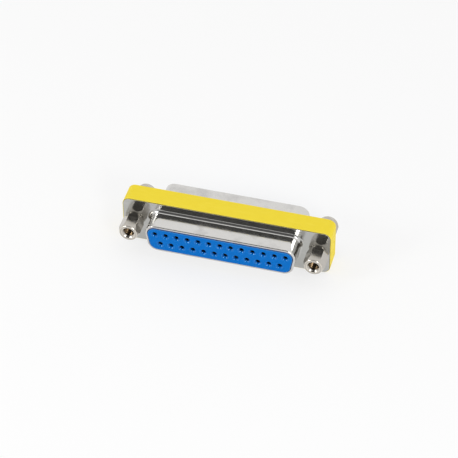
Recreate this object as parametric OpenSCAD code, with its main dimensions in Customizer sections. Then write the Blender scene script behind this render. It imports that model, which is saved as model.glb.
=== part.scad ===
// A 25-way socket to socket D-sub gender changer: two drawn shells and two
// moulded insulators, back to back inside a plain plastic band.
// X runs along the connector, the front face looks along -Y and Z points up.
// The origin is the centre of the whole object, which stands on its band.

/* [Contacts] */
// Distance from one contact to the next in a row
pitch = 2.76; // [2.7:0.01:2.85]
// Distance between the two rows of contacts
row_gap = 2.84; // [2.75:0.01:2.95]
// Outside diameter of a contact's tube
tube_d = 1.64; // [1.5:0.02:1.7]
// Bore of a contact's tube, which takes a pin
pin_bore_d = 1.05; // [1:0.01:1.15]
// Depth of the pin's bore below the tube's mouth
pin_bore_depth = 5.1; // [4:0.1:5.3]
// Width of the slit that lets the tube's mouth spring open
slit_w = 0.2; // [0.1:0.05:0.4]
// Depth of that slit below the mouth
slit_depth = 3.4; // [2:0.1:4.5]
// Width of the strip that joins a contact's two tubes
strip_w = 0.7; // [0.5:0.05:0.75]
// Thickness of that strip
strip_t = 0.35; // [0.25:0.05:0.45]
// Solid end of each tube, where the strip begins
tube_end = 0.4; // [0.3:0.05:0.6]
// Length of the strip's sloping stretch, measured from front to rear
strip_run = 3; // [2.6:0.1:3.4]

/* [Metal shells] */
// Distance from the end contact of the long row to the shell's theoretical corner
end_margin = 3; // [2.8:0.01:3.2]
// Height of the collar, outside
shell_h = 7.9; // [7.7:0.05:8.3]
// Lean of the collar's two ends from upright
shell_angle = 10; // [8:0.5:12]
// Corner radius of the collar, outside
shell_r = 2.6; // [2.4:0.1:2.9]
// Thickness of the drawn sheet
sheet_t = 0.45; // [0.35:0.05:0.5]
// How far the collar stands out of its flange
collar_l = 5.6; // [5.4:0.1:6.4]
// Outside radius where the collar turns in at its rim
rim_r = 0.55; // [0.5:0.02:0.6]
// Width of the turned-in rim, seen from the front
rim_w = 0.62; // [0.62:0.02:0.8]
// Radius where the collar flares into the flange
flare_r = 0.9; // [0.6:0.1:1.2]
// Height of the flange
flange_h = 12.5; // [12:0.1:13]
// Corner radius of the flange
flange_r = 1.7; // [1.2:0.1:2]
// Diameter of the flange's screw holes
screw_hole_d = 3.1; // [3:0.05:3.3]
// Distance from the collar's theoretical corner to the screw beside it
screw_reach = 3.96; // [3.85:0.01:4.2]
// Distance from a screw to the flange's end
screw_margin = 2.83; // [2.5:0.01:3.4]

/* [Plastic band] */
// Distance from one flange's outer face to the other's
flange_gap = 5.6; // [5.2:0.1:6.4]
// How far each flange stands proud of the band's edge
flange_proud = 0.15; // [0.1:0.05:0.25]
// Thickness of the band's lip round each flange
band_lip = 0.15; // [0.1:0.05:0.4]
// Thickness of the band's wall behind the lip
band_wall = 0.8; // [0.7:0.05:1]
// Outside corner radius of the band
band_r = 2; // [1.6:0.1:2.6]

/* [Insulators] */
// How far an insulator's face stands out of the shell's rim
face_rise = 0.2; // [0.05:0.05:0.3]
// Diameter of a contact's entry hole
entry_d = 1.16; // [1.12:0.02:1.2]
// Diameter of the entry hole's mouth
mouth_d = 1.8; // [1.4:0.05:1.9]
// Depth of the chamfer that leads from the mouth into the entry hole
mouth_depth = 0.3; // [0.2:0.05:0.5]
// Thickness of plastic between the face and the tubes' mouths
face_t = 0.75; // [0.6:0.05:1]

/* [Jack screws and nuts] */
// Width across the flats of the hexagons
hex_af = 4.75; // [4.6:0.05:5]
// Length of the hexagons
hex_l = 5.5; // [5:0.1:6]
// Diameter of a hexagon's round end, inside its chamfer
hex_end_d = 4.5; // [4.3:0.05:4.6]
// Axial depth of that chamfer
hex_chamfer = 1.2; // [0.8:0.1:1.6]
// Turn of the left hexagons from flat side up
left_turn = -9; // [-30:1:30]
// Turn of the right hexagons from flat side up
right_turn = -7; // [-30:1:30]
// Outside diameter of the 4-40 thread's groove in a tapped hole
thread_d = 2.84; // [2.8:0.01:2.9]
// Diameter of the hole that is drilled before tapping
drill_d = 2.26; // [2.1:0.02:2.4]
// Depth of thread in the front jack screws
socket_depth = 4.1; // [3.5:0.1:4.3]
// Diameter of the countersink at a tapped hole's mouth
sink_d = 3.3; // [3.1:0.05:3.6]
// How far the front screw's stud reaches into the rear nut
stud_grip = 2; // [1.6:0.1:2.2]
// Untapped stretch in the middle of the rear nut
nut_web = 0.7; // [0.6:0.05:1]

/* [Clearances] */
// Gap between a collar's inside and its insulator
shell_gap = 0.05; // [0.03:0.01:0.1]
// Gap between a flange's edge and the band's lip, and round the insulators
seat_gap = 0.05; // [0.03:0.01:0.1]
// Gap round each contact's tube
tube_gap = 0.06; // [0.04:0.01:0.08]
// Gap on each side of a contact's strip
strip_gap = 0.1; // [0.06:0.01:0.12]
// Gap between a stud and the thread that it is screwed into
thread_gap = 0.03; // [0.02:0.01:0.05]

/* [Hidden] */
$fn = 64;
// Contacts in the long row; the short row has one fewer
long_row = 13;
// Overlap that keeps a cut from ending in a face
cut = 0.01;
// Step between two smooth surfaces that join, so that they meet in a true edge
joint_step = 0.003;

shell_w = (long_row - 1) * pitch + 2 * end_margin;
screw_span = shell_w + 2 * screw_reach;
flange_w = screw_span + 2 * screw_margin;
half_gap = flange_gap / 2;
flange_back = half_gap - sheet_t;
rim_t = half_gap + collar_l;
face_z = rim_t + face_rise;
tube_mouth = face_z - face_t;
tube_back = tube_mouth - pin_bore_depth - tube_end;
band_w = flange_w + 2 * (seat_gap + band_lip);
band_h = flange_h + 2 * (seat_gap + band_lip);
well_w = band_w - 2 * band_wall;
well_h = band_h - 2 * band_wall;
well_r = band_r - band_wall;
hex_r = hex_af / 2 / cos(30);
sink_depth = (sink_d - thread_d) / 2;
stud_r = thread_d / 2 - thread_gap;
stud_l = flange_gap + stud_grip;
pocket_w = strip_w + 2 * strip_gap;

// Corner centres of the collar's outline, with each arc's start and sweep
centre_top_x = shell_w / 2 - shell_r * (1 + sin(shell_angle)) / cos(shell_angle);
centre_low_x = shell_w / 2
    - (shell_r + (shell_h - shell_r) * sin(shell_angle)) / cos(shell_angle);
centre_y = shell_h / 2 - shell_r;
corners = [
    [[centre_low_x, -centre_y], -90, 90 - shell_angle],
    [[centre_top_x, centre_y], -shell_angle, 90 + shell_angle],
    [[-centre_top_x, centre_y], 90, 90 + shell_angle],
    [[-centre_low_x, -centre_y], 180 + shell_angle, 90 - shell_angle]
];

// Places along X of the contacts, the long row first
long_x = [for (i = [0 : long_row - 1]) (i - (long_row - 1) / 2) * pitch];
short_x = [for (i = [0 : long_row - 2]) (i - (long_row - 2) / 2) * pitch];
contact_x = concat(long_x, short_x);

function contact_name(i) = str("contact_", i < 9 ? "0" : "", i + 1);
contact_names = [for (i = [0 : len(contact_x) - 1]) contact_name(i)];

// Half a connector is drawn lying on its back: its face looks along +Z and its
// wide side along +Y. These two stand it up at the front and at the rear.
module at_front() {
    rotate([90, 0, 0]) children();
}

module at_rear() {
    rotate([-90, 0, 0]) children();
}

// A flat shape as a slab from one height to another
module slab(from, to) {
    translate([0, 0, from]) linear_extrude(to - from) children();
}

// The collar's outline, grown or shrunk all round. The straight sides lie a
// joint step inside the corners' circles.
module d_outline(grow) {
    r = shell_r + grow;
    reach = r - joint_step;
    side = [reach * cos(shell_angle), -reach * sin(shell_angle)];
    right = [
        [centre_low_x, -centre_y - reach],
        [centre_low_x, -centre_y] + side,
        [centre_top_x, centre_y] + side,
        [centre_top_x, centre_y + reach]
    ];
    left = [for (i = [3 : -1 : 0]) [-right[i][0], right[i][1]]];
    polygon(concat(right, left));
    for (c = corners) {
        translate(c[0]) circle(r);
    }
}

// A rectangle with round corners, on the origin
module round_rect(w, h, r) {
    square([w - 2 * r, h], center = true);
    square([w, h - 2 * r], center = true);
    for (x = [-1, 1], y = [-1, 1]) {
        translate([x * (w / 2 - r), y * (h / 2 - r)]) circle(r);
    }
}

// Both screws' places
module at_screws() {
    for (x = [-1, 1]) {
        translate([x * screw_span / 2, 0, 0]) children();
    }
}

// Quarter of a ring in a section, in the corner that sx and sy point to
module quarter_ring(outer, inner, sx, sy) {
    intersection() {
        difference() {
            circle(outer);
            circle(inner);
        }
        translate([sx > 0 ? 0 : -outer, sy > 0 ? 0 : -outer]) square(outer);
    }
}

// Section through the collar's wall, from the flare to the turned-in rim.
// X is the distance from a corner's centre, Y the height. Both sides of the
// sheet lie a step inside its full thickness.
module collar_section(step) {
    flare_top = half_gap + flare_r;
    sheet = sheet_t - 2 * step;
    translate([shell_r + flare_r, flare_top])
        quarter_ring(flare_r + sheet_t - step, flare_r + step, -1, -1);
    translate([shell_r - sheet_t + step, flare_top])
        square([sheet, rim_t - rim_r - flare_top]);
    translate([shell_r - rim_r, rim_t - rim_r])
        quarter_ring(rim_r - step, rim_r - sheet_t + step, 1, 1);
    translate([shell_r - rim_w, rim_t - sheet_t + step])
        square([rim_w - rim_r, sheet]);
}

// The collar, swept round the outline: an arc at each corner, then the straight
// side that leads to the next one and reaches a little into both
module collar() {
    for (i = [0 : 3]) {
        c = corners[i];
        run = norm(corners[(i + 1) % 4][0] - c[0]);
        translate(c[0]) rotate(c[1]) rotate_extrude(angle = c[2])
            collar_section(joint_step);
        translate(c[0]) rotate(c[1] + c[2])
            translate([0, run + cut, 0]) rotate([90, 0, 0])
                linear_extrude(run + 2 * cut) collar_section(2 * joint_step);
    }
}

// The flange's hole is a little small, so that the flare's foot ends inside it
module shell() {
    collar();
    slab(flange_back, half_gap) difference() {
        round_rect(flange_w, flange_h, flange_r);
        d_outline(flare_r - 2 * cut);
        at_screws() circle(d = screw_hole_d);
    }
}

// A contact's cavity: the tube's bore, the entry hole and its mouth
module cavity() {
    translate([0, 0, -cut]) cylinder(d = tube_d + 2 * tube_gap, h = tube_mouth + tube_gap + cut);
    cylinder(d = entry_d, h = face_z + cut);
    translate([0, 0, face_z - mouth_depth])
        cylinder(d1 = entry_d, d2 = mouth_d, h = mouth_depth);
}

// Pocket at the joint of the two halves, where a contact's strip crosses over.
// Side is 1 for the long row and -1 for the short row.
module strip_pocket(side) {
    past_middle = strip_t + strip_gap;
    start = side > 0 ? -past_middle : -row_gap / 2;
    translate([-pocket_w / 2, start, -cut])
        cube([pocket_w, row_gap / 2 + past_middle, strip_run / 2 + cut]);
}

module insulator() {
    difference() {
        union() {
            slab(0, flange_back)
                round_rect(well_w - 2 * seat_gap, well_h - 2 * seat_gap, well_r - seat_gap);
            slab(0, rim_t - sheet_t - shell_gap) d_outline(-sheet_t - shell_gap);
            slab(0, face_z) d_outline(-rim_w - shell_gap);
        }
        translate([0, 0, -cut]) at_screws()
            cylinder(d = screw_hole_d, h = flange_back + 2 * cut);
        for (x = long_x) translate([x, row_gap / 2, 0]) cavity();
        for (x = short_x) translate([x, -row_gap / 2, 0]) cavity();
        for (x = long_x) translate([x, 0, 0]) strip_pocket(1);
        for (x = short_x) translate([x, 0, 0]) strip_pocket(-1);
    }
}

// One half of a contact: a slit tube that grips a pin, closed at its back
module tube() {
    difference() {
        translate([0, 0, tube_back]) cylinder(d = tube_d, h = tube_mouth - tube_back);
        translate([0, 0, tube_mouth - pin_bore_depth])
            cylinder(d = pin_bore_d, h = pin_bore_depth + cut);
        translate([-slit_w / 2, -tube_d, tube_mouth - slit_depth])
            cube([slit_w, 2 * tube_d, slit_depth + cut]);
    }
}

// The strip between a contact's tubes, bent like a Z seen from the end.
// It runs from the high tube in front to the low tube behind.
module crossing_strip() {
    h = strip_t / 2;
    z = row_gap / 2;
    y = strip_run / 2;
    mitre = h * tan(atan2(row_gap, strip_run) / 2);
    end = tube_back + tube_end / 2;
    upper = [[-end, z + h], [mitre - y, z + h], [mitre + y, h - z], [end, h - z]];
    rotate([90, 0, 90]) translate([0, 0, -strip_w / 2]) linear_extrude(strip_w)
        polygon(concat(upper, -upper));
}

// A whole contact. Side is 1 where the front tube is in the upper row, and -1
// where it is in the lower row, which turns the contact over.
module contact(x, side) {
    color("goldenrod") translate([x, 0, 0]) rotate([0, side > 0 ? 0 : 180, 0]) {
        at_front() translate([0, row_gap / 2, 0]) tube();
        at_rear() translate([0, row_gap / 2, 0]) tube();
        crossing_strip();
    }
}

// A hexagon with both ends chamfered round, standing on the flange
module hex_body(turn) {
    translate([0, 0, half_gap]) intersection() {
        rotate(turn) cylinder(r = hex_r, h = hex_l, $fn = 6);
        rotate_extrude() polygon([
            [0, 0], [hex_end_d / 2, 0], [hex_r + cut, hex_chamfer],
            [hex_r + cut, hex_l - hex_chamfer], [hex_end_d / 2, hex_l], [0, hex_l]
        ]);
    }
}

// A tapped hole, cut downwards from the hexagon's outer end
module tapped_hole(depth) {
    top = half_gap + hex_l;
    translate([0, 0, top - depth]) cylinder(d = thread_d, h = depth + cut);
    translate([0, 0, top - sink_depth]) cylinder(d1 = thread_d, d2 = sink_d, h = sink_depth);
}

module jack_screw(turn) {
    difference() {
        union() {
            hex_body(turn);
            translate([0, 0, half_gap - stud_l]) cylinder(r = stud_r, h = stud_l);
        }
        tapped_hole(socket_depth);
    }
}

module jack_nut(turn) {
    difference() {
        hex_body(turn);
        tapped_hole(hex_l - stud_grip - nut_web);
        translate([0, 0, half_gap - cut]) cylinder(d = drill_d, h = hex_l);
        translate([0, 0, half_gap - cut]) cylinder(d = thread_d, h = stud_grip + cut);
    }
}

module band() {
    depth = half_gap - flange_proud;
    color("gold") rotate([90, 0, 0]) difference() {
        slab(-depth, depth) round_rect(band_w, band_h, band_r);
        slab(-depth - cut, depth + cut) round_rect(well_w, well_h, well_r);
        for (turn = [0, 180]) rotate([turn, 0, 0]) slab(flange_back, depth + cut)
            round_rect(flange_w + 2 * seat_gap, flange_h + 2 * seat_gap, flange_r + seat_gap);
    }
}

module front_shell() {
    color("silver") at_front() shell();
}

module rear_shell() {
    color("silver") at_rear() shell();
}

module front_insulator() {
    color("royalblue") at_front() insulator();
}

module rear_insulator() {
    color("royalblue") at_rear() insulator();
}

module jack_screw_left() {
    color("gainsboro") translate([-screw_span / 2, 0, 0]) at_front() jack_screw(left_turn);
}

module jack_screw_right() {
    color("gainsboro") translate([screw_span / 2, 0, 0]) at_front() jack_screw(right_turn);
}

module jack_nut_left() {
    color("gainsboro") translate([-screw_span / 2, 0, 0]) at_rear() jack_nut(left_turn);
}

module jack_nut_right() {
    color("gainsboro") translate([screw_span / 2, 0, 0]) at_rear() jack_nut(right_turn);
}

band();
front_shell();
rear_shell();
front_insulator();
rear_insulator();
jack_screw_left();
jack_screw_right();
jack_nut_left();
jack_nut_right();
for (i = [0 : len(contact_x) - 1]) {
    contact(contact_x[i], i < long_row ? 1 : -1);
}
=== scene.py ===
"""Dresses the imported 25-way socket to socket adapter: plated shells, a plastic band,
moulded insulators, jack screws and contacts, on a pale floor in soft studio light.

The frame has X along the connector, the front face towards -Y and Z up. Sizes below are
in millimetres and become metres where a mesh is made."""

import math

import bmesh
import bpy
from mathutils import Matrix, Vector


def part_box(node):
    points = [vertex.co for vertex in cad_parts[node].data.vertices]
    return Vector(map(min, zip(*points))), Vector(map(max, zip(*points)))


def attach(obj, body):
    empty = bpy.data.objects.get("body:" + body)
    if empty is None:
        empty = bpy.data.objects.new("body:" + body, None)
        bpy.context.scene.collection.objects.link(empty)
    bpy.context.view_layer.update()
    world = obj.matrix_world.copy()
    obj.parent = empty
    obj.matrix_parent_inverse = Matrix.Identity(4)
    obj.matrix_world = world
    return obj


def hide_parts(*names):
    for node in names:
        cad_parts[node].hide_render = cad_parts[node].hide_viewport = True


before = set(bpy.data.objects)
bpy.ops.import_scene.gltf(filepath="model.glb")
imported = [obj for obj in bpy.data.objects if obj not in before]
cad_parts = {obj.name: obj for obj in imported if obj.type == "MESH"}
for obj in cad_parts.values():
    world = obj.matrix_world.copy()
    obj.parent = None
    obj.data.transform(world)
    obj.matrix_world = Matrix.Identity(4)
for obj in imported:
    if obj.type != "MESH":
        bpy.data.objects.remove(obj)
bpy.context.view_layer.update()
MM = 0.001


def extent(node):
    """Lowest and highest corner of a node, in millimetres."""
    low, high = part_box(node)
    return low / MM, high / MM


SHELL_LOW, SHELL_HIGH = extent("front_shell")
BAND_LOW, BAND_HIGH = extent("band")
MOULDING_LOW = extent("front_insulator")[0]
SCREW_LOW = extent("jack_screw_right")[0]

# Drawn shells
SHEET = 0.45
RIM_FACE = -SHELL_LOW.y
FLANGE_BACK = -SHELL_HIGH.y
FLANGE_FACE = FLANGE_BACK + SHEET
FLANGE_W = SHELL_HIGH.x - SHELL_LOW.x
FLANGE_H = SHELL_HIGH.z - SHELL_LOW.z
FLANGE_R = 1.7
FLANGE_EDGE = 0.08
# Heights over the flange's face between which its painted shade, a darker plate, fades out
FLANGE_SHADE_FADE = (0.02, 0.4)
COLLAR_W = 39.12
COLLAR_H = 7.9
COLLAR_LEAN = math.radians(10)
COLLAR_R = 2.6
RIM_R = 0.32
RIM_INSIDE_R = 0.03
RIM_W = 0.52
RIM_EDGE = 0.03
RIM_BACK = RIM_FACE - SHEET
FLARE_R = 0.9
SCREW_HOLE_R = 1.55
SCREW_HOLE_STEPS = 48
SCREW_X = 23.52

# Insulators
FACE = -MOULDING_LOW.y
FACE_EDGE = 0.17
MOUTH_DEPTH = 0.3
MOUTH_EDGE = 0.07

# Plastic band
BAND_W = BAND_HIGH.x - BAND_LOW.x
BAND_H = BAND_HIGH.z - BAND_LOW.z
BAND_DEPTH = BAND_HIGH.y
BAND_R = 2.0
BAND_WALL = 0.8
BAND_EDGE = 0.05
SEAT_GAP = 0.05

# Jack screws and nuts
HEX_AF = 4.75
HEX_END = -SCREW_LOW.y
HEX_END_R = 2.25
HEX_CHAMFER = 1.2
HEX_CORNER_R = 0.1
HEX_EDGE = 0.05
END_EDGE = 0.14
LEFT_TURN = math.radians(-9)
RIGHT_TURN = math.radians(-7)
THREAD_R = 1.42
THREAD_PITCH = 0.635
THREAD_CREST_R = 1.15
THREAD_BURY = 0.02
THREAD_STEPS = 40
# Half a ridge's width at its root, in pitches, and the share of it that is gone at its crest
THREAD_ROOT_SHARE = 0.46
THREAD_CREST_SHARE = 0.86
DRILL_R = 1.13
SINK_R = 1.65
SOCKET_DEPTH = 4.1
# Depths between which painted shade darkens a tapped hole to brown, and how far its wall is clear of
# the sink
HOLE_SHADE_DEPTHS = (0.3, 0.7)
HOLE_SHADE_CLEAR = 0.05
STUD_R = 1.39
STUD_CORE_R = 1.1
STUD_POINT = 0.3
STUD_GRIP = 2.0
STUD_END = -FLANGE_FACE - STUD_GRIP
NUT_WEB = 0.7
GRIP_END = FLANGE_FACE + STUD_GRIP
SINK_END = HEX_END - (SINK_R - THREAD_CREST_R)

# Least angles, in degrees, at which the edges of flat parts, hexagons and insulators are
# rounded, and greatest ones up to which they are shaded smooth
FLAT_ROUND = 45
HEX_ROUND = 12
MOULDING_ROUND = 30
FLAT_SMOOTH = 30
HEX_SMOOTH = 60
# Degrees up to which an edge of a face that is square to the axis, or of two triangles
# that make a quad, counts as flat
SQUARE_SMOOTH = 1
QUAD_FLAT = 0.5
NORMAL_WEIGHT = 80
# Attribute that marks the rounded edges, where rubbing shows
EDGE_MARK = "rubbed"
# Attribute that marks the seam between an insulator and its shell, where shade is painted
SHADED_SEAM_MARK = "shaded_seam"
# A face whose normal has this much of Y lies square to the connector's axis and is shaded flat
FLAT_ENOUGH = 0.99999
# Up to WALL_Y a face of an insulator is a wall, and from there to CONE_Y the cone of a mouth
WALL_Y = 0.6
CONE_Y = 0.95
# Metres within which points are at the same depth, are one point, or end a thread's ridge
SAME_DEPTH = 1e-6
SAME_POINT = 1e-8
THREAD_MERGE = 1e-7

# Studio: lamps and floor in metres, the floor's gap in millimetres. The unlit stretch of
# the walls is given by where it begins and ends to fade, as parts of a direction.
LAMP_DISTANCE = 0.5
LAMP_WIDTH = 0.12
LAMP_POWER = 0.6
FLOOR_HALF = 4.0
FLOOR_GAP = 0.02
PAPER_SHARE = 0.7
UNLIT_LEVEL = 0.12
UNLIT_CENTRE_X = -0.1
UNLIT_HALF_X = (0.38, 0.62)
UNLIT_AHEAD = (0.02, 0.25)
UNLIT_ABOVE = (0.0, 0.16)

# Photograph's view, fitted to the centres of the contact holes
PHOTO_SIZE = 458
SENSOR_W = 36.0
VIEW_AZIMUTH = math.radians(15.878)
VIEW_ELEVATION = math.radians(42.637)
VIEW_ROLL = math.radians(-0.548)
VIEW_DISTANCE = 512.36
VIEW_SCALE = 4.0859
FACE_CENTRE_PX = (219.5, 250.65)
FACE_CENTRE = Vector((0, -8.45, 0))


def make_camera():
    """Puts the camera where the photograph was taken from."""
    back = Vector((
        math.sin(VIEW_AZIMUTH) * math.cos(VIEW_ELEVATION),
        -math.cos(VIEW_AZIMUTH) * math.cos(VIEW_ELEVATION),
        math.sin(VIEW_ELEVATION),
    ))
    level = Vector((math.cos(VIEW_AZIMUTH), math.sin(VIEW_AZIMUTH), 0))
    upright = back.cross(level)
    right = math.cos(VIEW_ROLL) * level + math.sin(VIEW_ROLL) * upright
    up = math.cos(VIEW_ROLL) * upright - math.sin(VIEW_ROLL) * level
    half = PHOTO_SIZE / 2
    aside = (FACE_CENTRE_PX[0] - half) / VIEW_SCALE
    above = (half - FACE_CENTRE_PX[1]) / VIEW_SCALE
    place = FACE_CENTRE - aside * right - above * up + VIEW_DISTANCE * back
    data = bpy.data.cameras.new("camera")
    data.sensor_width = SENSOR_W
    data.lens = VIEW_SCALE * VIEW_DISTANCE * SENSOR_W / PHOTO_SIZE
    data.clip_start = 0.01
    data.clip_end = 20
    camera = bpy.data.objects.new("camera", data)
    turn = Matrix((right, up, back)).transposed()
    camera.matrix_world = Matrix.Translation(place * MM) @ turn.to_4x4()
    bpy.context.scene.collection.objects.link(camera)
    bpy.context.scene.camera = camera


def link(tree, source, target):
    """Joins an output to an input."""
    tree.links.new(source, target)


def start_material(name, metallic, base):
    """A new material with its tree and main shader to build on."""
    material = bpy.data.materials.new(name)
    material.use_nodes = True
    tree = material.node_tree
    shader = tree.nodes["Principled BSDF"]
    shader.inputs["Base Color"].default_value = (*base, 1)
    shader.inputs["Metallic"].default_value = metallic
    material.diffuse_color = (*base, 1)
    return material, tree, shader


def place_pattern(tree, stretch=(1, 1, 1)):
    """The object's own coordinates in millimetres, stretched along each axis."""
    coordinates = tree.nodes.new("ShaderNodeTexCoord")
    mapping = tree.nodes.new("ShaderNodeMapping")
    mapping.inputs["Scale"].default_value = [s / MM for s in stretch]
    link(tree, coordinates.outputs["Object"], mapping.inputs["Vector"])
    return mapping.outputs["Vector"]


def calculate(tree, operation, first, second=0.0):
    """One sum on two fields or numbers."""
    node = tree.nodes.new("ShaderNodeMath")
    node.operation = operation
    for socket, value in zip(node.inputs, (first, second)):
        if isinstance(value, (int, float)):
            socket.default_value = value
        else:
            link(tree, value, socket)
    return node.outputs["Value"]


def noise(tree, vector, scale, detail):
    """A noise field from 0 to 1, with scale in waves per millimetre."""
    node = tree.nodes.new("ShaderNodeTexNoise")
    node.inputs["Scale"].default_value = scale
    node.inputs["Detail"].default_value = detail
    link(tree, vector, node.inputs["Vector"])
    return node.outputs["Fac"]


def spread(tree, value, low, high, from_low=0.3, from_high=0.7):
    """Maps a field onto a range, held at its ends."""
    node = tree.nodes.new("ShaderNodeMapRange")
    node.inputs["From Min"].default_value = from_low
    node.inputs["From Max"].default_value = from_high
    node.inputs["To Min"].default_value = low
    node.inputs["To Max"].default_value = high
    link(tree, value, node.inputs["Value"])
    return node.outputs["Result"]


def tint(tree, factor, first, second):
    """A colour between two, by a field. Each is a written colour or a field of colour."""
    node = tree.nodes.new("ShaderNodeMix")
    node.data_type = "RGBA"
    # Inputs 6 and 7 and output 2 are the ones for colours
    for socket, colour in ((node.inputs[6], first), (node.inputs[7], second)):
        if isinstance(colour, tuple):
            socket.default_value = (*colour, 1)
        else:
            link(tree, colour, socket)
    link(tree, factor, node.inputs[0])
    return node.outputs[2]


def worn_edges(tree, vector, scale):
    """Where rubbing has reached: the edges' own faces, broken up by a fine noise."""
    edges = tree.nodes.new("ShaderNodeAttribute")
    edges.attribute_name = EDGE_MARK
    patches = spread(tree, noise(tree, vector, scale, 2.0), 0.25, 1.0, 0.35, 0.6)
    return calculate(tree, "MULTIPLY", edges.outputs["Fac"], patches)


def add_bump(tree, shader, height, depth_mm, strength):
    """Raises the surface by a field, up to a depth in millimetres."""
    node = tree.nodes.new("ShaderNodeBump")
    node.inputs["Strength"].default_value = strength
    node.inputs["Distance"].default_value = depth_mm * MM
    link(tree, height, node.inputs["Height"])
    link(tree, node.outputs["Normal"], shader.inputs["Normal"])


def tin_plate():
    """Bright tin plate on drawn sheet: draw marks along the collar, fine scratches, a patchy
    polish with dull smears, and edges rubbed brighter. The flange's plate is painted darker as
    painted shade for its dim reflection, and the rim is duller, where the sheet was turned in."""
    material, tree, shader = start_material("tin_plate", 1.0, (0.66, 0.65, 0.63))
    here = place_pattern(tree)
    patches = noise(tree, here, 0.35, 4.0)
    streaks = noise(tree, place_pattern(tree, (0.5, 0.5, 1.4)), 0.5, 3.0)
    smears = spread(tree, streaks, 0, 1, 0.5, 0.75)
    marks = noise(tree, place_pattern(tree, (5.0, 0.35, 5.0)), 2.2, 3.0)
    parts = tree.nodes.new("ShaderNodeSeparateXYZ")
    link(tree, here, parts.inputs["Vector"])
    depth = calculate(tree, "ABSOLUTE", parts.outputs["Y"])
    rim = spread(tree, depth, 0, 1, RIM_FACE - RIM_R, RIM_FACE - RIM_R / 2)
    lines = noise(tree, place_pattern(tree, (0.9, 7.0, 9.0)), 2.5, 1.0)
    scratches = spread(tree, lines, 0, 1, 0.66, 0.72)
    worn = worn_edges(tree, here, 3.0)
    plate = tint(tree, patches, (0.62, 0.61, 0.59), (0.69, 0.68, 0.66))
    # Painted shade: the flange's plate is darker, standing in for the dim reflection it shows
    fade_start, fade_end = (FLANGE_FACE + height for height in FLANGE_SHADE_FADE)
    flange = spread(tree, depth, 1, 0, fade_start, fade_end)
    flange_shaded = tint(tree, flange, plate, (0.47, 0.47, 0.45))
    smeared = tint(tree, smears, flange_shaded, (0.52, 0.51, 0.50))
    link(tree, tint(tree, worn, smeared, (0.80, 0.79, 0.77)), shader.inputs["Base Color"])
    polish = spread(tree, patches, 0.10, 0.17)
    dulled = calculate(tree, "ADD", polish, calculate(tree, "MULTIPLY", smears, 0.07))
    drawn = calculate(tree, "ADD", dulled, calculate(tree, "MULTIPLY", rim, 0.12))
    scratched = calculate(tree, "ADD", drawn, calculate(tree, "MULTIPLY", scratches, 0.08))
    rubbed = calculate(tree, "SUBTRACT", scratched, calculate(tree, "MULTIPLY", worn, 0.05))
    link(tree, rubbed, shader.inputs["Roughness"])
    relief = calculate(tree, "SUBTRACT", marks, calculate(tree, "MULTIPLY", scratches, 0.5))
    add_bump(tree, shader, relief, 0.004, 0.42)
    return material


def distance_from_screw(tree):
    """Distance from the nearer jack screw's axis, and place along it, in millimetres."""
    parts = tree.nodes.new("ShaderNodeSeparateXYZ")
    link(tree, place_pattern(tree), parts.inputs["Vector"])
    aside = calculate(tree, "SUBTRACT", calculate(tree, "ABSOLUTE", parts.outputs["X"]), SCREW_X)
    square_x = calculate(tree, "MULTIPLY", aside, aside)
    square_z = calculate(tree, "MULTIPLY", parts.outputs["Z"], parts.outputs["Z"])
    away = calculate(tree, "SQRT", calculate(tree, "ADD", square_x, square_z))
    return away, parts.outputs["Y"]


def nickel_plate():
    """Nickel on turned brass: rings from the lathe on the ends, drawing marks along the
    flats, small pits, corners rubbed to a warmer tone, and painted shade, dark brown, down the tapped
    holes."""
    material, tree, shader = start_material("nickel_plate", 1.0, (0.66, 0.62, 0.56))
    here = place_pattern(tree)
    away, along = distance_from_screw(tree)
    groove = tree.nodes.new("ShaderNodeCombineXYZ")
    link(tree, calculate(tree, "MULTIPLY", away, 9.0), groove.inputs["X"])
    link(tree, calculate(tree, "MULTIPLY", along, 0.4), groove.inputs["Y"])
    rings = noise(tree, groove.outputs["Vector"], 1.6, 2.0)
    patches = noise(tree, here, 0.9, 3.0)
    pits = spread(tree, noise(tree, here, 7.0, 1.0), 1, 0, 0.24, 0.30)
    worn = worn_edges(tree, here, 4.0)
    plate = tint(tree, patches, (0.46, 0.435, 0.395), (0.56, 0.53, 0.485))
    pitted = tint(tree, pits, plate, (0.30, 0.27, 0.23))
    bare = tint(tree, worn, pitted, (0.76, 0.71, 0.62))
    # Painted shade: dark brown down the tapped holes, below their mouths
    near_axis = spread(tree, away, 1, 0, THREAD_R, SINK_R - HOLE_SHADE_CLEAR)
    shade_low, shade_high = (HEX_END - depth for depth in reversed(HOLE_SHADE_DEPTHS))
    below_mouth = spread(tree, calculate(tree, "ABSOLUTE", along), 1, 0, shade_low, shade_high)
    hole_shade = calculate(tree, "MULTIPLY", near_axis, below_mouth)
    link(tree, tint(tree, hole_shade, bare, (0.13, 0.09, 0.05)), shader.inputs["Base Color"])
    polish = spread(tree, patches, 0.12, 0.24)
    dulled = calculate(tree, "ADD", polish, calculate(tree, "MULTIPLY", pits, 0.15))
    link(tree, dulled, shader.inputs["Roughness"])
    add_bump(tree, shader, rings, 0.003, 0.22)
    return material


def gold_flash():
    """Gold flash on the contacts' turned bronze, with fine marks along them."""
    material, tree, shader = start_material("gold_flash", 1.0, (0.83, 0.58, 0.22))
    patches = noise(tree, place_pattern(tree), 1.5, 3.0)
    marks = noise(tree, place_pattern(tree, (6.0, 0.5, 6.0)), 2.0, 2.0)
    link(tree, tint(tree, patches, (0.70, 0.46, 0.16), (0.88, 0.64, 0.28)), shader.inputs["Base Color"])
    link(tree, spread(tree, patches, 0.16, 0.30), shader.inputs["Roughness"])
    add_bump(tree, shader, marks, 0.003, 0.25)
    return material


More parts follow.
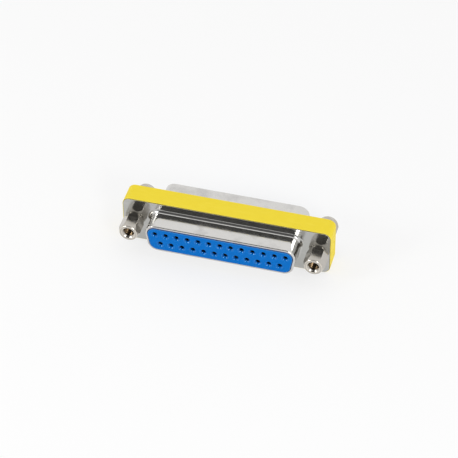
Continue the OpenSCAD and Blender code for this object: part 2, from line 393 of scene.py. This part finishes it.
def blue_moulding(name, gloss, polish, grain_strength):
    """Satin blue moulding compound: a fine grain, faint flow lines between the rows, paler,
    smoother edges, and painted shade, a mottled dark brown, in the seam round the face. The
    holes' mouths come off polished pins and get a glossier one of their own."""
    material, tree, shader = start_material(name, 0.0, (0.0, 0.157, 0.55))
    shader.inputs["Specular IOR Level"].default_value = gloss
    shader.inputs["Specular Tint"].default_value = (0.45, 0.8, 1.0, 1)
    here = place_pattern(tree)
    clouds = noise(tree, here, 0.5, 3.0)
    flow = noise(tree, place_pattern(tree, (0.5, 1.0, 3.5)), 0.8, 3.0)
    grain = noise(tree, here, 9.0, 2.0)
    worn = worn_edges(tree, here, 5.0)
    body = tint(tree, clouds, (0.0, 0.146, 0.53), (0.001, 0.164, 0.59))
    streaked = tint(tree, spread(tree, flow, 0, 0.35, 0.55, 0.75), body, (0.002, 0.185, 0.64))
    edged = tint(tree, worn, streaked, (0.02, 0.24, 0.68))
    # Painted shade: a mottled dark brown on the seam's marked faces, where the gap's shadow falls
    shaded_seam = tree.nodes.new("ShaderNodeAttribute")
    shaded_seam.attribute_name = SHADED_SEAM_MARK
    mottled = spread(tree, noise(tree, here, 1.6, 3.0), 0.55, 1.0, 0.35, 0.5)
    seam_shade = calculate(tree, "MULTIPLY", shaded_seam.outputs["Fac"], mottled)
    link(tree, tint(tree, seam_shade, edged, (0.10, 0.075, 0.055)), shader.inputs["Base Color"])
    satin = spread(tree, clouds, polish, polish + 0.1)
    polished = calculate(tree, "SUBTRACT", satin, calculate(tree, "MULTIPLY", worn, 0.05))
    link(tree, polished, shader.inputs["Roughness"])
    add_bump(tree, shader, grain, 0.004, grain_strength)
    return material


def yellow_moulding():
    """Smooth yellow plastic of the band: a fine grain, faint flow clouds, small scuffs and
    paler rubbed edges."""
    material, tree, shader = start_material("yellow_moulding", 0.0, (0.86, 0.68, 0.03))
    shader.inputs["Specular IOR Level"].default_value = 0.2
    here = place_pattern(tree)
    clouds = noise(tree, here, 0.3, 3.0)
    flow = noise(tree, place_pattern(tree, (0.3, 1.6, 1.0)), 0.9, 2.0)
    grain = noise(tree, here, 6.0, 2.0)
    rubs = noise(tree, place_pattern(tree, (1.0, 6.0, 6.0)), 1.2, 1.0)
    scuffs = spread(tree, rubs, 0, 1, 0.68, 0.74)
    worn = worn_edges(tree, here, 3.0)
    body = tint(tree, clouds, (0.84, 0.655, 0.026), (0.88, 0.70, 0.038))
    streaked = tint(tree, spread(tree, flow, 0, 0.4, 0.5, 0.75), body, (0.90, 0.73, 0.06))
    link(tree, tint(tree, worn, streaked, (0.93, 0.79, 0.16)), shader.inputs["Base Color"])
    smooth = spread(tree, clouds, 0.48, 0.58)
    scuffed = calculate(tree, "ADD", smooth, calculate(tree, "MULTIPLY", scuffs, 0.15))
    link(tree, scuffed, shader.inputs["Roughness"])
    add_bump(tree, shader, calculate(tree, "SUBTRACT", grain, scuffs), 0.004, 0.22)
    return material


def pale_floor():
    """Plain matte floor, which the camera and the metal see mostly as bright paper, so that
    the part's shadow stays soft."""
    material, tree, shader = start_material("pale_floor", 0.0, (0.9, 0.9, 0.9))
    shader.inputs["Roughness"].default_value = 0.9
    shader.inputs["Specular IOR Level"].default_value = 0.0
    paper = tree.nodes.new("ShaderNodeEmission")
    paper.inputs["Strength"].default_value = 1.0
    rays = tree.nodes.new("ShaderNodeLightPath")
    straight = calculate(tree, "MAXIMUM", rays.outputs["Is Camera Ray"], rays.outputs["Is Glossy Ray"])
    seen = calculate(tree, "MAXIMUM", straight, rays.outputs["Is Transmission Ray"])
    blend = tree.nodes.new("ShaderNodeMixShader")
    link(tree, calculate(tree, "MULTIPLY", seen, PAPER_SHARE), blend.inputs["Fac"])
    link(tree, shader.outputs["BSDF"], blend.inputs[1])
    link(tree, paper.outputs["Emission"], blend.inputs[2])
    link(tree, blend.outputs["Shader"], tree.nodes["Material Output"].inputs["Surface"])
    return material


def screw_hole(height, x):
    """Points round a screw's clearance hole in a flange."""
    turns = [math.tau * i / SCREW_HOLE_STEPS for i in range(SCREW_HOLE_STEPS)]
    return [(x + SCREW_HOLE_R * math.cos(t), SCREW_HOLE_R * math.sin(t), height) for t in turns]


def round_rect(width, length, radius, height, steps=10):
    """Points round a rectangle with round corners."""
    points = []
    for i, (sx, sy) in enumerate(((1, 1), (-1, 1), (-1, -1), (1, -1))):
        cx = sx * (width / 2 - radius)
        cy = sy * (length / 2 - radius)
        for k in range(steps + 1):
            t = math.radians(90 * i + 90 * k / steps)
            points.append((cx + radius * math.cos(t), cy + radius * math.sin(t), height))
    return points


def d_outline(grow, height, steps=12):
    """Points round the collar's outline, grown or shrunk all round, wide side along +Y."""
    radius = COLLAR_R + grow
    lean = COLLAR_LEAN
    cy = COLLAR_H / 2 - COLLAR_R
    top_x = COLLAR_W / 2 - COLLAR_R * (1 + math.sin(lean)) / math.cos(lean)
    low_x = COLLAR_W / 2 - (COLLAR_R + (COLLAR_H - COLLAR_R) * math.sin(lean)) / math.cos(lean)
    quarter = math.pi / 2
    corners = (
        (top_x, cy, -lean, quarter),
        (-top_x, cy, quarter, math.pi + lean),
        (-low_x, -cy, math.pi + lean, 3 * quarter),
        (low_x, -cy, 3 * quarter, math.tau - lean),
    )
    points = []
    for cx, cy, start, end in corners:
        for k in range(steps + 1):
            t = start + (end - start) * k / steps
            points.append((cx + radius * math.cos(t), cy + radius * math.sin(t), height))
    return points


def hexagon_outline(turn, steps=8, corner_steps=6):
    """Points round a hexagon with slightly round corners, turned about its axis."""
    hub = (HEX_AF / 2 - HEX_CORNER_R) / math.cos(math.radians(30))
    points = []
    for i in range(6):
        corner = turn + math.radians(60 * i)
        cx = hub * math.cos(corner)
        cy = hub * math.sin(corner)
        for k in range(corner_steps + 1):
            t = corner + math.radians(-30 + 60 * k / corner_steps)
            points.append(Vector((cx + HEX_CORNER_R * math.cos(t), cy + HEX_CORNER_R * math.sin(t))))
        following = turn + math.radians(60 * (i + 1))
        facing = following - math.radians(30)
        end = Vector((
            hub * math.cos(following) + HEX_CORNER_R * math.cos(facing),
            hub * math.sin(following) + HEX_CORNER_R * math.sin(facing),
        ))
        begin = points[-1]
        points += [begin.lerp(end, k / steps) for k in range(1, steps)]
    return points


def at_radius(outline, radius, height):
    """A circle's points, in the same directions as an outline's."""
    return [(*(p.normalized() * radius), height) for p in outline]


def arc(cx, cy, radius, start_degrees, end_degrees, steps):
    """Points along an arc in a section, as pairs of offset and height."""
    found = []
    for k in range(steps + 1):
        t = math.radians(start_degrees + (end_degrees - start_degrees) * k / steps)
        found.append((cx + radius * math.cos(t), cy + radius * math.sin(t)))
    return found


class Solid:
    """A closed surface built from rings of points. It is drawn lying on its back, with its
    face towards +Z and its wide side along +Y, and stood up at the front or at the rear."""

    def __init__(self):
        self.mesh = bmesh.new()

    def ring(self, points):
        """The points as corners of the mesh."""
        return [self.mesh.verts.new(p) for p in points]

    def join(self, first, second):
        """Faces between two rings with as many points."""
        count = len(first)
        for i in range(count):
            j = (i + 1) % count
            self.mesh.faces.new((first[i], first[j], second[j], second[i]))

    def sweep(self, rings, closed=False):
        """Rings joined one after the other. Gives the first and the last."""
        made = [self.ring(points) for points in rings]
        for first, second in zip(made, made[1:]):
            self.join(first, second)
        if closed:
            self.join(made[-1], made[0])
        return made[0], made[-1]

    def close(self, *rings):
        """A flat face inside the first ring and outside the others."""
        edges = []
        for ring in rings:
            for i, vertex in enumerate(ring):
                pair = (vertex, ring[(i + 1) % len(ring)])
                edges.append(self.mesh.edges.get(pair) or self.mesh.edges.new(pair))
        bmesh.ops.triangle_fill(self.mesh, edges=edges, use_beauty=True)

    def shift(self, x):
        """Moves the whole solid along the connector."""
        bmesh.ops.translate(self.mesh, vec=(x, 0, 0), verts=self.mesh.verts)

    def stand(self, rear=False):
        """Turns the solid from lying on its back to standing in the frame."""
        quarter = math.radians(-90 if rear else 90)
        turn = Matrix.Rotation(quarter, 3, "X")
        bmesh.ops.transform(self.mesh, matrix=(turn * MM).to_4x4(), verts=self.mesh.verts)

    def round_edges(self, width, least_degrees, chosen=None):
        """Rounds the sharp edges and marks their new faces as rubbed."""
        if EDGE_MARK not in self.mesh.faces.layers.float:
            self.mesh.faces.layers.float.new(EDGE_MARK)
        bmesh.ops.recalc_face_normals(self.mesh, faces=self.mesh.faces)
        least = math.radians(least_degrees)
        sharp = [
            edge for edge in self.mesh.edges
            if edge.is_manifold and edge.calc_face_angle() > least and (chosen is None or chosen(edge))
        ]
        made = bmesh.ops.bevel(
            self.mesh, geom=sharp, offset=width * MM, offset_type="OFFSET", segments=2,
            profile=0.5, affect="EDGES", clamp_overlap=True,
        )
        mark = self.mesh.faces.layers.float[EDGE_MARK]
        for face in made["faces"]:
            face[mark] = 1.0

    def finish(self, name, material, slot, smooth_degrees=FLAT_SMOOTH, second_material=None):
        """The solid as a smooth-shaded object that rides on the root."""
        bmesh.ops.recalc_face_normals(self.mesh, faces=self.mesh.faces)
        for edge in self.mesh.edges:
            if edge.is_manifold:
                square = any(abs(face.normal.y) > FLAT_ENOUGH for face in edge.link_faces)
                limit = SQUARE_SMOOTH if square else smooth_degrees
                edge.smooth = edge.calc_face_angle() < math.radians(limit)
        data = bpy.data.meshes.new(name)
        self.mesh.to_mesh(data)
        self.mesh.free()
        data.materials.append(material)
        if second_material:
            data.materials.append(second_material)
        for polygon in data.polygons:
            polygon.use_smooth = True
        piece = bpy.data.objects.new(name + "_finished", data)
        bpy.context.scene.collection.objects.link(piece)
        normals = piece.modifiers.new("normals", "WEIGHTED_NORMAL")
        normals.mode = "FACE_AREA_WITH_ANGLE"
        normals.weight = NORMAL_WEIGHT
        normals.keep_sharp = True
        bake_modifiers(piece)
        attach(piece, "root")
        return piece


def bake_modifiers(piece):
    """Turns a piece with modifiers into a plain mesh."""
    graph = bpy.context.evaluated_depsgraph_get()
    plain = bpy.data.meshes.new_from_object(piece.evaluated_get(graph), depsgraph=graph)
    piece.modifiers.clear()
    old = piece.data
    piece.data = plain
    bpy.data.meshes.remove(old)


def collar_section():
    """The drawn sheet's surface, as offsets from the collar's outline and heights: from the
    front foot of the flare over the rim to the back foot."""
    flare_top = FLANGE_FACE + FLARE_R
    rim_low = RIM_FACE - RIM_R
    section = arc(FLARE_R, flare_top, FLARE_R, 270, 180, 12)
    section += arc(-RIM_R, rim_low, RIM_R, 0, 90, 10)
    section += arc(-RIM_W + RIM_EDGE, RIM_FACE - RIM_EDGE, RIM_EDGE, 90, 180, 3)
    section += arc(-RIM_W + RIM_EDGE, RIM_BACK + RIM_EDGE, RIM_EDGE, 180, 270, 3)
    section += arc(-SHEET - RIM_INSIDE_R, RIM_BACK - RIM_INSIDE_R, RIM_INSIDE_R, 90, 0, 4)
    section += arc(FLARE_R, flare_top, FLARE_R + SHEET, 180, 270, 12)
    return section


def make_shell(name, material, rear):
    """One drawn shell: a D collar with a turned-in rim, flared into a flange with two holes."""
    solid = Solid()
    front_foot, back_foot = solid.sweep([d_outline(grow, height) for grow, height in collar_section()])
    heights = (FLANGE_FACE, FLANGE_BACK)
    outsides = [round_rect(FLANGE_W, FLANGE_H, FLANGE_R, height) for height in heights]
    rim_front, rim_back = solid.sweep(outsides)
    fronts = [rim_front, front_foot]
    backs = [rim_back, back_foot]
    for x in (-SCREW_X, SCREW_X):
        hole_front, hole_back = solid.sweep([screw_hole(height, x) for height in heights])
        fronts.append(hole_front)
        backs.append(hole_back)
    solid.close(*fronts)
    solid.close(*backs)
    solid.stand(rear)
    solid.round_edges(FLANGE_EDGE, FLAT_ROUND)
    piece = solid.finish(name, material, "plated_steel")
    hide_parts(name)


def make_band(material):
    """The plastic ring round both flanges: a lip round each, stepped back to seat them."""
    solid = Solid()
    seat_w = FLANGE_W + 2 * SEAT_GAP
    seat_h = FLANGE_H + 2 * SEAT_GAP
    seat_r = FLANGE_R + SEAT_GAP
    well = (BAND_W - 2 * BAND_WALL, BAND_H - 2 * BAND_WALL, BAND_R - BAND_WALL)
    solid.sweep([
        round_rect(BAND_W, BAND_H, BAND_R, -BAND_DEPTH),
        round_rect(BAND_W, BAND_H, BAND_R, BAND_DEPTH),
        round_rect(seat_w, seat_h, seat_r, BAND_DEPTH),
        round_rect(seat_w, seat_h, seat_r, FLANGE_BACK),
        round_rect(*well, FLANGE_BACK),
        round_rect(*well, -FLANGE_BACK),
        round_rect(seat_w, seat_h, seat_r, -FLANGE_BACK),
        round_rect(seat_w, seat_h, seat_r, -BAND_DEPTH),
    ], closed=True)
    solid.stand()
    solid.round_edges(BAND_EDGE, FLAT_ROUND)
    piece = solid.finish("band", material, "yellow_plastic")
    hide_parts("band")


def hex_rings(outline, foot):
    """Rings over a hexagon from its foot to its end: both ends are chamfered to a circle."""
    slope = HEX_CHAMFER / (HEX_AF / 2 / math.cos(math.radians(30)) - HEX_END_R)

    def chamfer(side, end):
        """Where the chamfer's cone meets the hexagon's sides."""
        return [(*p, end - side * slope * (p.length - HEX_END_R)) for p in outline]

    return [
        at_radius(outline, HEX_END_R, foot),
        chamfer(-1, foot),
        chamfer(1, HEX_END),
        at_radius(outline, HEX_END_R, HEX_END),
    ]


def round_rings(outline, *steps):
    """Rings down a stepped bore or along a stud, from pairs of radius and height."""
    return [at_radius(outline, radius, height) for radius, height in steps]


def mouth_rings(outline):
    """Rings down a countersink and out again to the bore of a tapped hole."""
    return round_rings(
        outline, (SINK_R, HEX_END), (THREAD_CREST_R, SINK_END), (THREAD_R, SINK_END - THREAD_PITCH / 2),
    )


def at_end(edge):
    """True for the two rings that bound a hexagon's end face."""
    return all(abs(abs(vertex.co.y) - HEX_END * MM) < SAME_DEPTH for vertex in edge.verts)


def make_jack_screw(name, side, turn, material):
    """A hexagonal jack screw: tapped at its end, with a stud that runs through the part."""
    outline = hexagon_outline(turn)
    solid = Solid()
    rings = round_rings(
        outline, (STUD_CORE_R - STUD_POINT, STUD_END), (STUD_CORE_R, STUD_END + STUD_POINT),
        (STUD_CORE_R, FLANGE_FACE),
    )
    rings += hex_rings(outline, FLANGE_FACE)
    rings += mouth_rings(outline)
    rings += round_rings(outline, (THREAD_R, HEX_END - SOCKET_DEPTH))
    tip, bottom = solid.sweep(rings)
    solid.close(tip)
    solid.close(bottom)
    solid.shift(side * SCREW_X)
    solid.stand()
    solid.round_edges(END_EDGE, HEX_ROUND, at_end)
    solid.round_edges(HEX_EDGE, HEX_ROUND)
    piece = solid.finish(name, material, "plated_brass", HEX_SMOOTH)
    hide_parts(name)


def make_jack_nut(name, side, turn, material):
    """A hexagonal nut, tapped from both ends with an untapped web between."""
    outline = hexagon_outline(turn)
    solid = Solid()
    rings = hex_rings(outline, FLANGE_FACE)
    rings += mouth_rings(outline)
    rings += round_rings(
        outline, (THREAD_R, GRIP_END + NUT_WEB), (DRILL_R, GRIP_END + NUT_WEB), (DRILL_R, GRIP_END),
        (THREAD_R, GRIP_END), (THREAD_R, FLANGE_FACE),
    )
    solid.sweep(rings, closed=True)
    solid.shift(side * SCREW_X)
    solid.stand(rear=True)
    solid.round_edges(END_EDGE, HEX_ROUND, at_end)
    solid.round_edges(HEX_EDGE, HEX_ROUND)
    piece = solid.finish(name, material, "plated_brass", HEX_SMOOTH)
    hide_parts(name)


def make_moulding(name, material, mouth_material):
    """One insulator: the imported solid's own surface, with its triangles paired to keep the
    shading even and the edges of its face rounded."""
    solid = Solid()
    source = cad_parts[name]
    solid.mesh.from_mesh(source.data)
    bmesh.ops.remove_doubles(solid.mesh, verts=solid.mesh.verts, dist=SAME_POINT)
    bmesh.ops.join_triangles(
        solid.mesh, faces=solid.mesh.faces, angle_face_threshold=math.radians(QUAD_FLAT),
        angle_shape_threshold=math.radians(180),
    )

    def on_face(edge):
        """True for an edge that lies in the face."""
        return all(abs(abs(vertex.co.y) - FACE * MM) < SAME_DEPTH for vertex in edge.verts)

    def round_mouth(edge):
        """True for the rings of the holes' mouths."""
        return on_face(edge) and any(WALL_Y < abs(face.normal.y) < CONE_Y for face in edge.link_faces)

    def face_outline(edge):
        """True for the outline of the face."""
        return on_face(edge) and any(abs(face.normal.y) < WALL_Y for face in edge.link_faces)

    solid.round_edges(MOUTH_EDGE, MOULDING_ROUND, round_mouth)
    solid.round_edges(FACE_EDGE, MOULDING_ROUND, face_outline)
    # Painted shade: walls just below the face are marked as the dark seam
    shaded_seam = solid.mesh.faces.layers.float.new(SHADED_SEAM_MARK)
    for face in solid.mesh.faces:
        below_face = FACE * MM - abs(face.calc_center_median().y)
        near_face = 0 < below_face < MOUTH_DEPTH * MM
        face.material_index = int(near_face and WALL_Y < abs(face.normal.y) < CONE_Y)
        face[shaded_seam] = float(near_face and abs(face.normal.y) < WALL_Y)
    piece = solid.finish(name, material, "blue_plastic", FLAT_SMOOTH, mouth_material)
    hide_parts(name)


THREAD_INPUTS = ("Turns", "Pitch", "Root Radius", "Crest Radius", "Start", "Across", "Facing")


def build_thread_tree(material):
    """A node tree that winds a V-shaped ridge on a helix, run out to nothing at both ends."""
    tree = bpy.data.node_groups.new("wind_thread", "GeometryNodeTree")
    tree.interface.new_socket("Geometry", in_out="OUTPUT", socket_type="NodeSocketGeometry")
    for label in THREAD_INPUTS:
        tree.interface.new_socket(label, in_out="INPUT", socket_type="NodeSocketFloat")
    given = tree.nodes.new("NodeGroupInput").outputs

    def node(kind):
        """A new node in the tree."""
        return tree.nodes.new(kind)

    def sum_of(operation, first, second=0.0):
        """One sum in the tree."""
        return calculate(tree, operation, first, second)

    # The grid's X runs along the helix. Its Y goes round the ridge's section: lower root,
    # lower crest, upper crest, upper root and back to the lower root.
    grid = node("GeometryNodeMeshGrid")
    link(tree, sum_of("MULTIPLY", given["Turns"], THREAD_STEPS), grid.inputs["Vertices X"])
    grid.inputs["Vertices Y"].default_value = 5
    place = node("ShaderNodeSeparateXYZ")
    link(tree, node("GeometryNodeInputPosition").outputs["Position"], place.inputs["Vector"])
    along = sum_of("ADD", place.outputs["X"], 0.5)
    step = sum_of("ROUND", sum_of("MULTIPLY", sum_of("ADD", place.outputs["Y"], 0.5), 4.0))
    turned = sum_of("MULTIPLY", along, given["Turns"])
    left = sum_of("SUBTRACT", given["Turns"], turned)
    fade = sum_of("MINIMUM", sum_of("MULTIPLY", sum_of("MINIMUM", turned, left), 2.0), 1.0)
    off_middle = sum_of("ABSOLUTE", sum_of("SUBTRACT", step, 1.5))
    crest = sum_of("LESS_THAN", off_middle, 1.0)
    depth = sum_of("SUBTRACT", given["Crest Radius"], given["Root Radius"])
    rise = sum_of("MULTIPLY", depth, sum_of("MULTIPLY", crest, fade))
    radius = sum_of("ADD", given["Root Radius"], rise)
    off_upper = sum_of("ABSOLUTE", sum_of("SUBTRACT", step, 2.5))
    upper = sum_of("LESS_THAN", off_upper, 1.0)
    side = sum_of("SUBTRACT", sum_of("MULTIPLY", upper, 2.0), 1.0)
    half_root = sum_of("MULTIPLY", sum_of("MULTIPLY", given["Pitch"], THREAD_ROOT_SHARE), fade)
    narrow = sum_of("MULTIPLY", crest, THREAD_CREST_SHARE)
    half_width = sum_of("MULTIPLY", half_root, sum_of("SUBTRACT", 1.0, narrow))
    helix = sum_of("ADD", given["Start"], sum_of("MULTIPLY", turned, given["Pitch"]))
    height = sum_of("ADD", helix, sum_of("MULTIPLY", side, half_width))
    angle = sum_of("MULTIPLY", turned, math.tau)
    point = node("ShaderNodeCombineXYZ")
    across = sum_of("MULTIPLY", radius, sum_of("COSINE", angle))
    link(tree, sum_of("ADD", across, given["Across"]), point.inputs["X"])
    link(tree, sum_of("MULTIPLY", sum_of("MULTIPLY", height, given["Facing"]), -1.0), point.inputs["Y"])
    lifted = sum_of("MULTIPLY", radius, sum_of("SINE", angle))
    link(tree, sum_of("MULTIPLY", lifted, given["Facing"]), point.inputs["Z"])
    wind = node("GeometryNodeSetPosition")
    link(tree, grid.outputs["Mesh"], wind.inputs["Geometry"])
    link(tree, point.outputs["Vector"], wind.inputs["Position"])
    merge = node("GeometryNodeMergeByDistance")
    merge.inputs["Distance"].default_value = THREAD_MERGE
    link(tree, wind.outputs["Geometry"], merge.inputs["Geometry"])
    real = node("GeometryNodeRealizeInstances")
    link(tree, merge.outputs["Geometry"], real.inputs["Geometry"])
    finish = node("GeometryNodeSetMaterial")
    finish.inputs["Material"].default_value = material
    link(tree, real.outputs["Geometry"], finish.inputs["Geometry"])
    link(tree, finish.outputs["Geometry"], node("NodeGroupOutput").inputs["Geometry"])
    return tree


def make_thread(name, tree, values):
    """One thread: the tree's ridge with its own sizes, as a plain mesh."""
    data = bpy.data.meshes.new(name)
    piece = bpy.data.objects.new(name, data)
    bpy.context.scene.collection.objects.link(piece)
    modifier = piece.modifiers.new("thread", "NODES")
    modifier.node_group = tree
    for item in tree.interface.items_tree:
        if item.in_out == "INPUT":
            modifier[item.identifier] = float(values[item.name])
    bake_modifiers(piece)
    shape = bmesh.new()
    shape.from_mesh(piece.data)
    bmesh.ops.dissolve_degenerate(shape, dist=THREAD_MERGE, edges=shape.edges)
    bmesh.ops.recalc_face_normals(shape, faces=shape.faces)
    shape.to_mesh(piece.data)
    shape.free()
    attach(piece, "root")


def make_threads(material):
    """The threads of the tapped holes at both ends and of the studs."""
    tree = build_thread_tree(material)
    pitch = THREAD_PITCH * MM
    margin = pitch / 2
    socket = {"Root Radius": (THREAD_R + THREAD_BURY) * MM, "Crest Radius": THREAD_CREST_R * MM}
    stud = {"Root Radius": (STUD_CORE_R - THREAD_BURY) * MM, "Crest Radius": STUD_R * MM}
    kinds = (
        ("screw_socket_thread", HEX_END - SOCKET_DEPTH, SINK_END, 1.0, socket),
        ("nut_socket_thread", GRIP_END + NUT_WEB, SINK_END, -1.0, socket),
        ("stud_thread", STUD_END + STUD_POINT, FLANGE_FACE, 1.0, stud),
    )
    for label, x in (("left", -SCREW_X), ("right", SCREW_X)):
        for name, bottom, top, facing, radii in kinds:
            start = bottom * MM + margin
            make_thread(f"{name}_{label}", tree, {
                "Turns": (top * MM - margin - start) / pitch,
                "Pitch": pitch,
                "Start": start,
                "Across": x * MM,
                "Facing": facing,
                **radii,
            })


def put_material(names, material):
    """Gives CAD nodes their finish."""
    for name in names:
        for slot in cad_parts[name].material_slots:
            slot.material = material


def make_floor(material):
    """Floor under the band, wide enough for every view."""
    level = (BAND_LOW.z - FLOOR_GAP) * MM
    mesh = bpy.data.meshes.new("floor")
    corners = [(x * FLOOR_HALF, y * FLOOR_HALF, level) for x, y in ((-1, -1), (1, -1), (1, 1), (-1, 1))]
    mesh.from_pydata(corners, [], [(0, 1, 2, 3)])
    mesh.materials.append(material)
    floor = bpy.data.objects.new("floor", mesh)
    bpy.context.scene.collection.objects.link(floor)


def make_lamp(name, azimuth, elevation):
    """A soft box that looks at the part. Azimuth 0 is straight in front."""
    a = math.radians(azimuth)
    e = math.radians(elevation)
    back = Vector((math.sin(a) * math.cos(e), -math.cos(a) * math.cos(e), math.sin(e)))
    data = bpy.data.lights.new(name, "AREA")
    data.shape = "SQUARE"
    data.size = LAMP_WIDTH
    data.energy = LAMP_POWER
    lamp = bpy.data.objects.new(name, data)
    lamp.location = LAMP_DISTANCE * back
    lamp.rotation_euler = back.to_track_quat("Z", "Y").to_euler()
    bpy.context.scene.collection.objects.link(lamp)


def make_world():
    """Pale studio walls all round, with an unlit stretch where the photographer stands."""
    world = bpy.data.worlds.new("studio")
    bpy.context.scene.world = world
    world.use_nodes = True
    tree = world.node_tree
    background = tree.nodes["Background"]
    direction = tree.nodes.new("ShaderNodeTexCoord")
    parts = tree.nodes.new("ShaderNodeSeparateXYZ")
    link(tree, direction.outputs["Generated"], parts.inputs["Vector"])

    def fall(value, start, end):
        """A soft step from 0 at start to 1 at end."""
        shade = tree.nodes.new("ShaderNodeMapRange")
        shade.interpolation_type = "SMOOTHSTEP"
        shade.inputs["From Min"].default_value = start
        shade.inputs["From Max"].default_value = end
        link(tree, value, shade.inputs["Value"])
        return shade.outputs["Result"]

    off_centre = calculate(tree, "SUBTRACT", parts.outputs["X"], UNLIT_CENTRE_X)
    aside = calculate(tree, "ABSOLUTE", off_centre)
    narrow = calculate(tree, "SUBTRACT", 1.0, fall(aside, *UNLIT_HALF_X))
    ahead = fall(calculate(tree, "MULTIPLY", parts.outputs["Y"], -1.0), *UNLIT_AHEAD)
    above = fall(parts.outputs["Z"], *UNLIT_ABOVE)
    unlit = calculate(tree, "MULTIPLY", narrow, calculate(tree, "MULTIPLY", ahead, above))
    strength = calculate(tree, "SUBTRACT", 1.0, calculate(tree, "MULTIPLY", unlit, 1.0 - UNLIT_LEVEL))
    link(tree, strength, background.inputs["Strength"])
    background.inputs["Color"].default_value = (1, 1, 1, 1)


make_camera()
make_world()
make_lamp("left_box", -52, 26)
make_lamp("right_box", 36, 30)
make_floor(pale_floor())

tin = tin_plate()
nickel = nickel_plate()
gold = gold_flash()
blue = blue_moulding("blue_moulding", 0.11, 0.36, 0.3)
blue_mouths = blue_moulding("blue_mouths", 0.5, 0.07, 0.06)
yellow = yellow_moulding()

make_band(yellow)
make_shell("front_shell", tin, rear=False)
make_shell("rear_shell", tin, rear=True)
make_moulding("front_insulator", blue, blue_mouths)
make_moulding("rear_insulator", blue, blue_mouths)
for label, side, turn in (("left", -1, LEFT_TURN), ("right", 1, RIGHT_TURN)):
    make_jack_screw(f"jack_screw_{label}", side, turn, nickel)
    make_jack_nut(f"jack_nut_{label}", side, turn, nickel)
make_threads(nickel)
put_material([f"contact_{i:02d}" for i in range(1, 26)], gold)

bpy.context.scene.view_settings.view_transform = "Standard"
